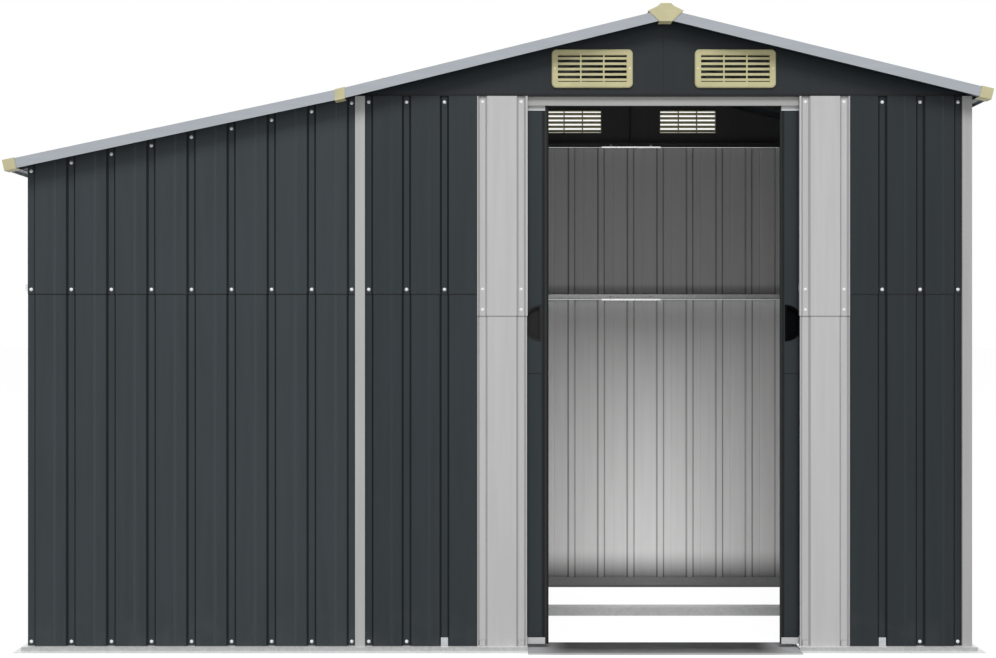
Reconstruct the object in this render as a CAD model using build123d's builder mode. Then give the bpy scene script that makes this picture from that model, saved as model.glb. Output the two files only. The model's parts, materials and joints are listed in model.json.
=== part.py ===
from build123d import *
import os
from math import atan, cos, radians, sin, sqrt, tan

os.makedirs("parts", exist_ok=True)

# Overall form, in millimetres and degrees: +X to the right, +Y to the back, +Z up
main_width = 1740  # main room, over its corner posts
lean_to_width = 925.5  # lean-to, from its open end to the junction post
wall_depth = 990  # between the outer faces of the front and back walls
wall_height = 1565  # top of the main walls
main_pitch = 13.77  # slope of the roof over the main room
lean_to_pitch = 12.0  # slope of the roof over the lean-to
right_overhang = 42  # roof past the right wall, over its end caps
left_overhang = 50.5  # roof past the lean-to's open end, over its end caps
end_overhang = 55.5  # roof past the front and back walls, to the face of its trims
joint_overhang = 37  # main roof past the junction post, to where the lean-to roof starts

# Sheet metal and the gaps between its pieces
sheet = 1.5
fit_gap = 0.3

# Door opening and leaves
opening_width = 767
opening_top = 1540
leaf_width = 400
leaf_setback = 23  # from the outer face of the wall to the face of the leaf
leaf_depth = 16
leaf_bottom = 15.5
leaf_top = 1545
leaf_seam = 783
leaf_groove_pitch = 107

# Left (-1) and right (1) leaf: how far each stands out open, and the seal on its meeting edge
leaf_standout = {-1: 60, 1: 50}  # of the seal past the edge of the opening
seal_reach = {-1: 10, 1: 3}  # past the edge of the sheets
seal_radius = {-1: 3, 1: 1}
seal_lip = 8  # on the face of the sheets
seal_front = 1.5  # in front of the face of the leaf
seal_back = 10

# Grooved wall sheets
groove_flat = 15
groove_run = 5.6
groove_depth = 7
edge_groove = 10  # from the edge of a sheet to the middle of its first groove
crease_width = 8
crease_height = 1.2
crease_place = 0.6  # along each pan
front_pitch = 107
seam_height = 1007
jamb_seam = 945
lap = 26
jamb_width = 142
jamb_groove = 15  # from the outer edge of a jamb panel to the middle of its first groove
jamb_far_groove = 18  # from the edge of the opening to the middle of its second groove
jamb_return = 9
lean_to_groove_count = 9
back_groove_count = 17
side_groove_count = 10

# Posts and rails
post_face = 27.5
post_flange = 22
stud_leg = 25
ledge_height = 13
ledge_reach = 12  # of the base ledge, past the wall's outer face
flange_reach = 30  # of the base flange, past the wall's outer face
base_web_top = 40
cross_bar_height = 27
cross_bar_width = 45
mid_rail_bottom = 1014
mid_rail_height = 20
front_rail_lip = 4
rail_lip = 15
rail_end = 8  # of the front mid rail past the lean-to's open end
top_rail_height = 17
top_web = 22
splice_length = 207
splice_drop = 4
sill_front = 46  # past the wall's outer face
sill_depth = 140
sill_height = 4
sill_tab_top = 10  # of its turned-up ends
sill_tab_depth = 67
eave_beam_height = 34
ridge_beam_width = 40
ridge_beam_height = 34

# Door track
track_depth = 43.6
track_flange = 10
track_flange_drop = 19
hanger_width = 40
hanger_inset = 50
hanger_reach = 6
hanger_thickness = 4
hanger_grip = 5
hanger_clearance = 5
channel_height = 18

# Roof sheets, covers and trims, measured across the slope from the underside of the sheet
rib_pitch = 120
rib_count = 9
rib_flat = 20
rib_run = 8
rib_depth = 10
trim_drop = 9
trim_rise = 19
trim_flange = 20
cover_half = 70
joint_cover_half = 45
cover_lift = 12

# Plastic caps at the ends of the trims
cap_wall = 2
cap_skin = 1.2
cap_length = 34
cap_depth = 40
joint_cap_half = 14
ridge_cap_top_half = 14.3
ridge_cap_shoulder_half = 23
ridge_cap_tip_half = 48.8
ridge_cap_bottom_half = 17.6
ridge_cap_rise = 35  # of its flat top above the sheets' ridge line
ridge_cap_shoulder_fall = 8
ridge_cap_tip_fall = 20.5
ridge_cap_height = 50

# Gables and their vents
gable_return = 22
vent_width = 228
vent_height = 108
vent_radius = 13
vent_offset = 201.5  # of its middle from the ridge line
vent_rise = 76.5  # of its middle above the top of the walls
vent_thickness = 8
vent_window_width = 194
vent_window_height = 76
vent_spigot = 8
slat_pitch = 15
slat_count = 5
slat_height = 6.5
slat_drop = 2
slat_setback = 1.5
bar_width = 4
bar_count = 2
vent_edge = 2.5

# Handles
handle_radius = 52
handle_inset = 10.5  # of its straight side from the edge of the sheets
handle_height = 925
handle_rim = 4
handle_face = 1.4
handle_cup = 12

# Places that follow from the sizes above
overall_width = main_width + lean_to_width + right_overhang + left_overhang
x_right = overall_width / 2 - right_overhang
x_junction = x_right - main_width
x_left = x_junction - lean_to_width
x_ridge = x_right - main_width / 2
x_joint = x_junction - joint_overhang
y_back = wall_depth / 2
y_trim = y_back + end_overhang
main_slope = tan(radians(main_pitch))
lean_to_slope = tan(radians(lean_to_pitch))
ridge_height = wall_height + fit_gap + main_slope * main_width / 2
joint_height = ridge_height - main_slope * (x_ridge - x_joint)
opening_half = opening_width / 2
lower_setback = sheet + fit_gap
post_plane = groove_depth + 2 * (sheet + fit_gap)
rail_plane = post_plane + sheet + fit_gap
rail_back = rail_plane + sheet
sheet_bottom = ledge_height + fit_gap
vent_centre_height = wall_height + vent_rise
dark_width = main_width / 2 - post_face - fit_gap - jamb_width - opening_half - fit_gap

# Walls as planes: x runs along the wall, y into the building and z up
front = Plane(origin=(0, -y_back, 0), x_dir=(1, 0, 0), z_dir=(0, 0, 1))
back = Plane(origin=(0, y_back, 0), x_dir=(-1, 0, 0), z_dir=(0, 0, 1))
right = Plane(origin=(x_right, 0, 0), x_dir=(0, 1, 0), z_dir=(0, 0, 1))
divider = Plane(origin=(x_junction, 0, 0), x_dir=(0, -1, 0), z_dir=(0, 0, 1))
left = Plane(origin=(x_left, 0, 0), x_dir=(0, -1, 0), z_dir=(0, 0, 1))


def moved(plane, x, y, z):
    return Plane(origin=plane.from_local_coords((x, y, z)), x_dir=plane.x_dir, z_dir=plane.z_dir)


# The section of a piece that runs along a wall: x is outwards from the wall and y is up
def section_plane(wall, start):
    origin = wall.from_local_coords((start, 0, 0))
    return Plane(origin=origin, x_dir=-wall.y_dir, z_dir=-wall.x_dir)


# The section of a piece that runs down a slope to side +1 or -1: y is square to the roof
def slope_plane(x, z, pitch, side):
    run = Vector(side * cos(radians(pitch)), 0, -sin(radians(pitch)))
    return Plane(origin=(x, 0, z), x_dir=(0, side, 0), z_dir=run)


def save(builder, name):
    builder.part.label = name
    export_step(builder.part, f"parts/{name}.step")


# One face of a grooved sheet, `offset` deep in it, with its folds square to the metal
def sheet_face(length, centres, offset, flat, run, depth, crease):
    shift = offset * tan(atan(depth / run) / 2)
    half = flat / 2
    points = []
    if centres[0] - half - run > 0:
        points.append((0, offset))
    else:
        points.append((0, depth + offset))
    for index, centre in enumerate(centres):
        if centre - half - run > 0:
            points.append((centre - half - run - shift, offset))
            points.append((centre - half - shift, depth + offset))
        if centre + half + run < length:
            points.append((centre + half + shift, depth + offset))
            points.append((centre + half + run + shift, offset))
        if crease and index + 1 < len(centres):
            pan = centres[index + 1] - centre
            ridge = centre + pan * crease_place
            points.append((ridge - crease_width / 2, offset))
            points.append((ridge, offset - crease))
            points.append((ridge + crease_width / 2, offset))
    if centres[-1] + half + run < length:
        points.append((length, offset))
    else:
        points.append((length, depth + offset))
    return points


def sheet_outline(length, centres, back, flat, run, depth, crease):
    outer = sheet_face(length, centres, back, flat, run, depth, crease)
    inner = sheet_face(length, centres, back + sheet, flat, run, depth, crease)
    return outer + inner[::-1]


def even_grooves(length, count):
    pitch = (length - 2 * edge_groove) / (count - 1)
    return [edge_groove + pitch * index for index in range(count)]


# A wall of two sheets: the upper one laps over the outside of the lower one at the seam
def wall_sheets(wall, start, length, centres):
    rows = ((sheet_bottom, seam_height + lap, lower_setback), (seam_height, wall_height, 0))
    with BuildPart() as sheets:
        for low, high, setback in rows:
            outline = sheet_outline(
                length, centres, setback, groove_flat, groove_run, groove_depth, crease_height
            )
            with BuildSketch(moved(wall, start, 0, low)):
                with BuildLine():
                    Polyline(*outline, close=True)
                make_face()
            extrude(amount=high - low)
    return sheets


# Wall sheets
post_clear = post_face + fit_gap
dark_left_grooves = [edge_groove + front_pitch * index for index in range(3)]
dark_right_grooves = [dark_width - groove for groove in reversed(dark_left_grooves)]

front_wall_left = wall_sheets(front, x_junction + post_clear, dark_width, dark_left_grooves)
save(front_wall_left, "front_wall_left")

dark_right_start = x_right - post_clear - dark_width
front_wall_right = wall_sheets(front, dark_right_start, dark_width, dark_right_grooves)
save(front_wall_right, "front_wall_right")

main_inner = main_width - 2 * post_clear
back_grooves = even_grooves(main_inner, back_groove_count)
back_wall_main = wall_sheets(back, -x_right + post_clear, main_inner, back_grooves)
save(back_wall_main, "back_wall_main")

side_inner = wall_depth - 2 * post_clear
side_grooves = even_grooves(side_inner, side_groove_count)
right_wall = wall_sheets(right, -side_inner / 2, side_inner, side_grooves)
save(right_wall, "right_wall")

divider_wall = wall_sheets(divider, -side_inner / 2, side_inner, side_grooves)
save(divider_wall, "divider_wall")

# The lean-to's walls are cut along the underside of its roof
lean_to_inner = lean_to_width - fit_gap
lean_to_grooves = even_grooves(lean_to_inner, lean_to_groove_count)
lean_to_top = Plane(
    origin=(x_joint, 0, joint_height - fit_gap),
    x_dir=(0, 1, 0),
    z_dir=(-sin(radians(lean_to_pitch)), 0, cos(radians(lean_to_pitch))),
)
for wall, start, name in (
    (front, x_left, "front_wall_lean_to"),
    (back, -x_junction + fit_gap, "back_wall_lean_to"),
):
    lean_to_wall = wall_sheets(wall, start, lean_to_inner, lean_to_grooves)
    with lean_to_wall:
        split(bisect_by=lean_to_top, keep=Keep.BOTTOM)
    save(lean_to_wall, name)


# Jamb panels: a groove near each edge, one wide pan between them and a return beside the opening
def jamb_outline(back):
    centres = [jamb_groove, jamb_width - jamb_far_groove]
    faces = []
    for offset in (back, back + sheet):
        face = sheet_face(jamb_width, centres, offset, groove_flat, groove_run, groove_depth, 0)
        edge = jamb_width - offset
        faces.append(face[:-1] + [(edge, offset), (edge, jamb_return)])
    return faces[0] + faces[1][::-1]


def jamb_panel(start, mirrored):
    rows = ((sheet_bottom, jamb_seam + lap, lower_setback), (jamb_seam, wall_height, 0))
    with BuildPart() as panel:
        for low, high, setback in rows:
            outline = jamb_outline(setback)
            if mirrored:
                outline = [(jamb_width - x, y) for x, y in outline]
            with BuildSketch(moved(front, start, 0, low)):
                with BuildLine():
                    Polyline(*outline, close=True)
                make_face()
            extrude(amount=high - low)
    return panel


jamb_panel_left = jamb_panel(x_ridge - opening_half - jamb_width, False)
save(jamb_panel_left, "jamb_panel_left")

jamb_panel_right = jamb_panel(x_ridge + opening_half, True)
save(jamb_panel_right, "jamb_panel_right")


# Corner posts: two outside faces, each stepped in to a flange behind the first groove of a wall;
# the junction posts have one more flange, for the lean-to wall, and a slot over the base rail's web
def corner_outline():
    step = post_face
    reach = post_face + post_flange
    outer = [(reach, post_plane), (step, post_plane), (step, 0), (0, 0)]
    outer += [(0, step), (post_plane, step), (post_plane, reach)]
    deep = post_plane + sheet
    inner = [(deep, reach), (deep, step - sheet), (sheet, step - sheet), (sheet, sheet)]
    inner += [(step - sheet, sheet), (step - sheet, deep), (reach, deep)]
    return outer + inner


def post_pair(x, x_side, junction):
    with BuildPart() as posts:
        for y_side in (-1, 1):
            corner = y_side * y_back
            outline = []
            for across, along in corner_outline():
                outline.append((x + x_side * across, corner - y_side * along))
            with BuildSketch(Plane.XY.offset(sheet_bottom)):
                with BuildLine():
                    Polyline(*outline, close=True)
                make_face()
                if junction:
                    flange_y = corner - y_side * (post_plane + sheet / 2)
                    with Locations((x - x_side * post_flange / 2, flange_y)):
                        Rectangle(post_flange, sheet)
            extrude(amount=wall_height - sheet_bottom)
            if junction:
                with BuildSketch(Plane.XY.offset(sheet_bottom)):
                    with Locations((x, corner - y_side * (rail_plane + sheet / 2))):
                        Rectangle(4 * sheet, sheet + 2 * fit_gap)
                extrude(amount=base_web_top + fit_gap - sheet_bottom, mode=Mode.SUBTRACT)
        if junction:
            split(bisect_by=lean_to_top, keep=Keep.BOTTOM)
    return posts


save(post_pair(x_right, -1, False), "corner_posts")
save(post_pair(x_junction, 1, True), "junction_posts")

# Angle studs behind the lean-to walls' free edges
with BuildPart() as lean_to_studs:
    for side in (-1, 1):
        with BuildSketch(Plane.XY.offset(sheet_bottom)):
            with Locations((x_left + stud_leg / 2, side * (y_back - post_plane - sheet / 2))):
                Rectangle(stud_leg, sheet)
            with Locations((x_left + sheet / 2, side * (y_back - post_plane - stud_leg / 2))):
                Rectangle(sheet, stud_leg)
        extrude(amount=wall_height - sheet_bottom)
        with BuildSketch(Plane.XY.offset(mid_rail_bottom - fit_gap)):
            with Locations((x_left, side * (y_back - rail_plane - rail_lip / 2))):
                Rectangle(4 * sheet, rail_lip + 2 * fit_gap)
        extrude(amount=mid_rail_height + 2 * fit_gap, mode=Mode.SUBTRACT)
    split(bisect_by=lean_to_top, keep=Keep.BOTTOM)
save(lean_to_studs, "lean_to_studs")

# Base rails: a ground flange, a riser, the ledge that carries the sheets and a web behind them
base_outline = [
    (flange_reach, 0),
    (flange_reach, sheet),
    (ledge_reach, sheet),
    (ledge_reach, ledge_height),
    (-rail_plane, ledge_height),
    (-rail_plane, base_web_top),
    (-rail_back, base_web_top),
    (-rail_back, ledge_height - sheet),
    (ledge_reach - sheet, ledge_height - sheet),
    (ledge_reach - sheet, 0),
]


def base_rail(wall, start, end, mitre_start, mitre_end):
    extra_start = flange_reach if mitre_start else 0
    extra_end = flange_reach if mitre_end else 0
    with BuildPart() as rail:
        with BuildSketch(section_plane(wall, start - extra_start)):
            with BuildLine():
                Polyline(*base_outline, close=True)
            make_face()
        extrude(amount=-(end - start + extra_start + extra_end))
        if mitre_start:
            corner = wall.from_local_coords((start + fit_gap, 0, 0))
            split(bisect_by=Plane(origin=corner, z_dir=wall.x_dir - wall.y_dir), keep=Keep.TOP)
        if mitre_end:
            corner = wall.from_local_coords((end - fit_gap, 0, 0))
            split(bisect_by=Plane(origin=corner, z_dir=-wall.x_dir - wall.y_dir), keep=Keep.TOP)
    return rail


with BuildPart() as base_front_rails:
    add(base_rail(front, x_left, x_ridge - opening_half - fit_gap, True, False).part)
    add(base_rail(front, x_ridge + opening_half + fit_gap, x_right, False, True).part)
save(base_front_rails, "base_front_rails")

save(base_rail(back, -x_right, -x_left, True, True), "base_back_rail")

rail_inner = y_back - rail_back - fit_gap
with BuildPart() as base_side_rails:
    add(base_rail(right, -y_back, y_back, True, True).part)
    add(base_rail(left, -y_back, y_back, True, True).part)
    add(base_rail(divider, -rail_inner, rail_inner, False, False).part)
save(base_side_rails, "base_side_rails")

# Cross bar of the base frame: an upturned channel at mid-depth of the main room
bar_start = x_junction + rail_back + fit_gap
bar_end = x_right - rail_back - fit_gap
with BuildPart() as base_cross_bar:
    with BuildSketch(Plane(origin=(bar_start, cross_bar_width / 2, 0), x_dir=(0, 1, 0), z_dir=(1, 0, 0))):
        with Locations((0, cross_bar_height / 2)):
            Rectangle(cross_bar_width, cross_bar_height)
        with Locations((0, cross_bar_height / 2 - sheet)):
            Rectangle(cross_bar_width - 2 * sheet, cross_bar_height, mode=Mode.SUBTRACT)
    extrude(amount=bar_end - bar_start)
save(base_cross_bar, "base_cross_bar")

# Door sill: a shallow folded plate on the ground that fills the opening, turned up at its ends
sill_plane = section_plane(front, x_ridge - opening_half)
with BuildPart() as door_sill:
    with BuildSketch(sill_plane):
        with Locations((sill_front - sill_depth / 2, sill_height / 2)):
            Rectangle(sill_depth, sill_height)
        with Locations((sill_front - sill_depth / 2, sill_height / 2 - sheet)):
            Rectangle(sill_depth - 2 * sheet, sill_height, mode=Mode.SUBTRACT)
    extrude(amount=-opening_width)
    with BuildSketch(Plane.XY.offset(sill_height - sheet)):
        for side in (-1, 1):
            tab_x = x_ridge + side * (opening_half - sheet / 2)
            with Locations((tab_x, -y_back - ledge_reach + sill_tab_depth / 2)):
                Rectangle(sheet, sill_tab_depth)
    extrude(amount=sill_tab_top - sill_height + sheet)
save(door_sill, "door_sill")


# A straight piece along a wall with the section given by its outline, outwards and up
def run_along(wall, start, end, outline):
    with BuildSketch(section_plane(wall, start)) as section:
        with BuildLine():
            Polyline(*outline, close=True)
        make_face()
    extrude(section.sketch, amount=-(end - start))


# Angle rail: a vertical leg behind the sheets with a lip at its foot
def rail_outline(low, height, lip):
    return [
        (-rail_plane, low),
        (-rail_plane, low + height),
        (-rail_back, low + height),
        (-rail_back, low + sheet),
        (-rail_plane - lip, low + sheet),
        (-rail_plane - lip, low),
    ]


# Top rail: an angle rail with a web on top that carries a gable or the roof
def top_rail_outline(lip):
    low = wall_height - top_rail_height
    return [
        (-rail_plane, low),
        (-rail_plane, wall_height),
        (-rail_plane - top_web, wall_height),
        (-rail_plane - top_web, wall_height - sheet),
        (-rail_back, wall_height - sheet),
        (-rail_back, low + sheet),
        (-rail_plane - lip, low + sheet),
        (-rail_plane - lip, low),
    ]


# Side rails start inboard of the front and back rails and the door track
back_start = rail_plane + fit_gap
track_inner = rail_plane + track_depth
side_front = -y_back + rail_plane + rail_lip + fit_gap
side_back = y_back - rail_plane - rail_lip - fit_gap
side_mid_outline = rail_outline(mid_rail_bottom, mid_rail_height, rail_lip)
front_mid_outline = rail_outline(mid_rail_bottom, mid_rail_height, front_rail_lip)

with BuildPart() as front_mid_rails:
    run_along(front, x_left - rail_end, x_junction - fit_gap, front_mid_outline)
    run_along(front, x_junction + back_start, x_ridge - opening_half - fit_gap, front_mid_outline)
    run_along(front, x_ridge + opening_half + fit_gap, x_right - back_start, front_mid_outline)
save(front_mid_rails, "front_mid_rails")

with BuildPart() as side_mid_rails:
    run_along(right, side_front, side_back, side_mid_outline)
    run_along(divider, side_front, side_back, side_mid_outline)
save(side_mid_rails, "side_mid_rails")


# A splice plate covers the joint in the middle of a back rail, round the foot and edge of its lip
def splice_outline(low):
    foot = low - fit_gap
    edge = -rail_plane - rail_lip - fit_gap
    return [
        (-rail_back, foot),
        (-rail_back, foot - sheet),
        (edge - sheet, foot - sheet),
        (edge - sheet, low + splice_drop),
        (edge, low + splice_drop),
        (edge, foot),
    ]


with BuildPart() as back_mid_rails:
    run_along(back, -x_right + back_start, -x_ridge - fit_gap, side_mid_outline)
    run_along(back, -x_ridge + fit_gap, -x_junction - back_start, side_mid_outline)
    run_along(back, -x_junction + fit_gap, -x_left + rail_end, side_mid_outline)
save(back_mid_rails, "back_mid_rails")

back_top_outline = top_rail_outline(rail_lip)
with BuildPart() as back_top_rails:
    run_along(back, -x_right + back_start, -x_ridge - fit_gap, back_top_outline)
    run_along(back, -x_ridge + fit_gap, -x_junction - back_start, back_top_outline)
save(back_top_rails, "back_top_rails")

with BuildPart() as rail_splices:
    for low in (mid_rail_bottom, wall_height - top_rail_height):
        run_along(back, -x_ridge - splice_length / 2, -x_ridge + splice_length / 2, splice_outline(low))
save(rail_splices, "rail_splices")

side_top_front = -y_back + track_inner + fit_gap
side_top_back = y_back - rail_plane - top_web - fit_gap
with BuildPart() as side_top_rails:
    run_along(right, side_top_front, side_top_back, top_rail_outline(rail_lip))
    run_along(divider, -side_top_back, -side_top_front, top_rail_outline(rail_lip))
save(side_top_rails, "side_top_rails")

# Door track: the front wall's top rail, with a channel behind the sheets that the leaves hang in
track_back = -rail_plane - track_depth
flange_top = wall_height - track_flange_drop + sheet
track_outline = [
    (-rail_plane, opening_top),
    (-rail_plane, wall_height),
    (track_back, wall_height),
    (track_back, flange_top - sheet),
    (track_back + track_flange, flange_top - sheet),
    (track_back + track_flange, flange_top),
    (track_back + sheet, flange_top),
    (track_back + sheet, wall_height - sheet),
    (-rail_back, wall_height - sheet),
    (-rail_back, opening_top),
]
with BuildPart() as door_track:
    run_along(front, x_junction + back_start, x_right - back_start, track_outline)
save(door_track, "door_track")

# Sloping rails along the top of the lean-to's front and back walls
lean_to_run = (x_joint - x_left) / cos(radians(lean_to_pitch))
with BuildPart() as lean_to_rafters:
    rafter_plane = slope_plane(x_joint, joint_height - 2 * fit_gap, lean_to_pitch, -1)
    for side in (-1, 1):
        with BuildSketch(rafter_plane):
            with Locations((side * (y_back - rail_plane - sheet / 2), -top_rail_height / 2)):
                Rectangle(sheet, top_rail_height)
            with Locations((side * (y_back - rail_plane - rail_lip / 2), -sheet / 2)):
                Rectangle(rail_lip, sheet)
        extrude(amount=lean_to_run - stud_leg)
save(lean_to_rafters, "lean_to_rafters")

# Eave beam over the lean-to's open end
eave_top = joint_height - lean_to_slope * (x_joint - x_left) - 2 * fit_gap
beam_reach = y_back - rail_plane
eave_start = (x_left + sheet + fit_gap, -beam_reach, eave_top)
with BuildPart() as eave_beam:
    with BuildSketch(Plane(origin=eave_start, x_dir=(1, 0, 0), z_dir=(0, 1, 0))):
        with Locations((sheet / 2, eave_beam_height / 2)):
            Rectangle(sheet, eave_beam_height)
        with Locations((rail_lip / 2, eave_beam_height - sheet / 2)):
            Rectangle(rail_lip, sheet)
    extrude(amount=2 * beam_reach)
save(eave_beam, "eave_beam")

# Ridge beam between the gables
beam_top = ridge_height - main_slope * ridge_beam_width / 2 - fit_gap
ridge_beam_reach = y_back - gable_return - fit_gap
beam_start = (x_ridge, -ridge_beam_reach, beam_top)
with BuildPart() as ridge_beam:
    with BuildSketch(Plane(origin=beam_start, x_dir=(1, 0, 0), z_dir=(0, 1, 0))):
        with Locations((0, ridge_beam_height / 2)):
            Rectangle(ridge_beam_width, ridge_beam_height)
        with Locations((0, ridge_beam_height / 2 + sheet)):
            Rectangle(ridge_beam_width - 2 * sheet, ridge_beam_height, mode=Mode.SUBTRACT)
    extrude(amount=2 * ridge_beam_reach)
save(ridge_beam, "ridge_beam")


# Gables: two folded trays that meet in a fold under the ridge, each cut out behind its vent
def gable(wall, name):
    ridge_local = x_ridge if wall is front else -x_ridge
    foot = wall_height + fit_gap
    half = main_width / 2 - post_clear
    drop = main_slope * half
    peak = ridge_height - 2 * fit_gap
    cut_out_width = vent_window_width + 2 * (sheet + fit_gap)
    cut_out_height = vent_window_height + 2 * (sheet + fit_gap)
    face_plane = Plane(origin=wall.origin, x_dir=wall.x_dir, z_dir=-wall.y_dir)
    with BuildPart() as panel:
        for side in (-1, 1):
            inner_edge = ridge_local + side * fit_gap / 2
            outer_edge = ridge_local + side * half
            with BuildSketch(face_plane):
                with BuildLine():
                    Polyline(
                        (inner_edge, foot),
                        (outer_edge, foot),
                        (outer_edge, peak - drop),
                        (inner_edge, peak),
                        close=True,
                    )
                make_face()
                with Locations((ridge_local + side * vent_offset, vent_centre_height)):
                    Rectangle(cut_out_width, cut_out_height, mode=Mode.SUBTRACT)
            extrude(amount=-gable_return)
            with BuildSketch(face_plane.offset(-sheet)):
                with BuildLine():
                    Polyline(
                        (inner_edge + side * sheet, foot + sheet),
                        (outer_edge - side * sheet, foot + sheet),
                        (outer_edge - side * sheet, peak - drop - sheet),
                        (inner_edge + side * sheet, peak - sheet),
                        close=True,
                    )
                make_face()
            extrude(amount=-gable_return, mode=Mode.SUBTRACT)
    save(panel, name)


gable(front, "front_gable")
gable(back, "back_gable")


# Vents: a moulded frame with five slats and two bars, its spigot through the gable
def vent(face_plane, centre):
    spigot_width = vent_window_width + 2 * sheet
    spigot_height = vent_window_height + 2 * sheet
    slat_front = vent_thickness - slat_setback
    section = Plane(
        origin=face_plane.from_local_coords((centre - vent_window_width / 2, vent_centre_height, 0)),
        x_dir=face_plane.z_dir,
        z_dir=-face_plane.x_dir,
    )
    with BuildPart() as grille:
        with BuildSketch(face_plane.offset(fit_gap)):
            with Locations((centre, vent_centre_height)):
                RectangleRounded(vent_width, vent_height, vent_radius)
        extrude(amount=vent_thickness)
        outer_face = grille.faces().sort_by(Axis(face_plane.origin, face_plane.z_dir))[-1]
        chamfer(outer_face.edges(), vent_edge)
        with BuildSketch(face_plane.offset(fit_gap)):
            with Locations((centre, vent_centre_height)):
                Rectangle(spigot_width, spigot_height)
        extrude(amount=-vent_spigot)
        with BuildSketch(face_plane.offset(vent_thickness + fit_gap)):
            with Locations((centre, vent_centre_height)):
                Rectangle(vent_window_width, vent_window_height)
        extrude(amount=-vent_thickness - vent_spigot - fit_gap, mode=Mode.SUBTRACT)
        for row in range(slat_count):
            height = (row - (slat_count - 1) / 2) * slat_pitch
            with BuildSketch(section):
                with BuildLine():
                    Polyline(
                        (slat_front, height - slat_height / 2 - slat_drop),
                        (slat_front, height + slat_height / 2 - slat_drop),
                        (0, height + slat_height / 2),
                        (0, height - slat_height / 2),
                        close=True,
                    )
                make_face()
            extrude(amount=-vent_window_width)
        for column in range(bar_count):
            place = (column - (bar_count - 1) / 2) * vent_window_width / (bar_count + 1)
            with BuildSketch(face_plane):
                with Locations((centre + place, vent_centre_height)):
                    Rectangle(bar_width, vent_window_height)
            extrude(amount=slat_front)
    return grille


def vents(wall, name):
    ridge_local = x_ridge if wall is front else -x_ridge
    face_plane = Plane(origin=wall.origin, x_dir=wall.x_dir, z_dir=-wall.y_dir)
    with BuildPart() as grilles:
        for side in (-1, 1):
            add(vent(face_plane, ridge_local + side * vent_offset).part)
    save(grilles, name)


vents(front, "front_vents")
vents(back, "back_vents")


# Roof sheets, ribbed down the slope, under their edge trims
def roof_sheet(x, z, pitch, side, start, length):
    width = 2 * (y_trim - sheet - fit_gap)
    first = width / 2 - rib_pitch * (rib_count - 1) / 2
    centres = [first + rib_pitch * index for index in range(rib_count)]
    outline = sheet_outline(width, centres, 0, rib_flat, rib_run, rib_depth, 0)
    plane = slope_plane(x, z, pitch, side).offset(start)
    with BuildPart() as roof:
        with BuildSketch(plane):
            with BuildLine():
                Polyline(*[(across - width / 2, height) for across, height in outline], close=True)
            make_face()
        extrude(amount=length - start)
    return roof


main_cos = cos(radians(main_pitch))
lean_to_cos = cos(radians(lean_to_pitch))
cap_top = trim_rise + fit_gap + cap_skin
right_tip = (x_right + right_overhang - x_ridge - cap_top * sin(radians(main_pitch))) / main_cos
right_length = right_tip - cap_wall - fit_gap
left_tip = (x_joint - x_left + left_overhang - cap_top * sin(radians(lean_to_pitch))) / lean_to_cos
lean_to_length = left_tip - cap_wall - fit_gap
left_length = (x_ridge - x_joint) / main_cos
eave_inset = sheet + fit_gap

# The joint's mitre halves the turn between the two slopes
mitre_pitch = (main_pitch + lean_to_pitch) / 2
joint_mitre = Plane(
    origin=(x_joint, 0, joint_height),
    z_dir=(cos(radians(mitre_pitch)), 0, sin(radians(mitre_pitch))),
)
ridge_mitre = Plane(origin=(x_ridge, 0, ridge_height), z_dir=(1, 0, 0))
mitre_reach = trim_rise + cover_lift

slopes = (
    (x_ridge, ridge_height, main_pitch, 1, right_length, "right"),
    (x_ridge, ridge_height, main_pitch, -1, left_length, "left"),
    (x_joint, joint_height, lean_to_pitch, -1, lean_to_length, "lean_to"),
)


def mitred(builder, slope_name):
    with builder:
        if slope_name == "right":
            split(bisect_by=ridge_mitre.offset(fit_gap / 2), keep=Keep.TOP)
        if slope_name == "left":
            split(bisect_by=ridge_mitre.offset(-fit_gap / 2), keep=Keep.BOTTOM)
            split(bisect_by=joint_mitre.offset(fit_gap / 2), keep=Keep.TOP)
        if slope_name == "lean_to":
            split(bisect_by=joint_mitre.offset(-fit_gap / 2), keep=Keep.BOTTOM)


for x, z, pitch, side, length, slope_name in slopes:
    end = length - eave_inset if slope_name != "left" else length + mitre_reach
    roof = roof_sheet(x, z, pitch, side, -mitre_reach, end)
    mitred(roof, slope_name)
    save(roof, f"roof_{slope_name}")

# Edge trims: a web over the edge of the sheets, a flange under them and a flange on top
trim_outline = [
    (0, -trim_drop),
    (0, trim_rise),
    (-trim_flange, trim_rise),
    (-trim_flange, trim_rise - sheet),
    (-sheet, trim_rise - sheet),
    (-sheet, -fit_gap),
    (-trim_flange, -fit_gap),
    (-trim_flange, -fit_gap - sheet),
    (-sheet, -fit_gap - sheet),
    (-sheet, -trim_drop),
]


def end_trim(slope, y_side):
    x, z, pitch, side, length, slope_name = slope
    outline = [(y_side * side * (y_trim + across), height) for across, height in trim_outline]
    end = length if slope_name != "left" else length + mitre_reach
    with BuildPart() as trim:
        with BuildSketch(slope_plane(x, z, pitch, side).offset(-mitre_reach)):
            with BuildLine():
                Polyline(*outline, close=True)
            make_face()
        extrude(amount=end + mitre_reach)
    mitred(trim, slope_name)
    return trim


for y_side, name in ((-1, "front_roof_trims"), (1, "back_roof_trims")):
    with BuildPart() as trims:
        for slope in slopes:
            add(end_trim(slope, y_side).part)
    save(trims, name)

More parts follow.
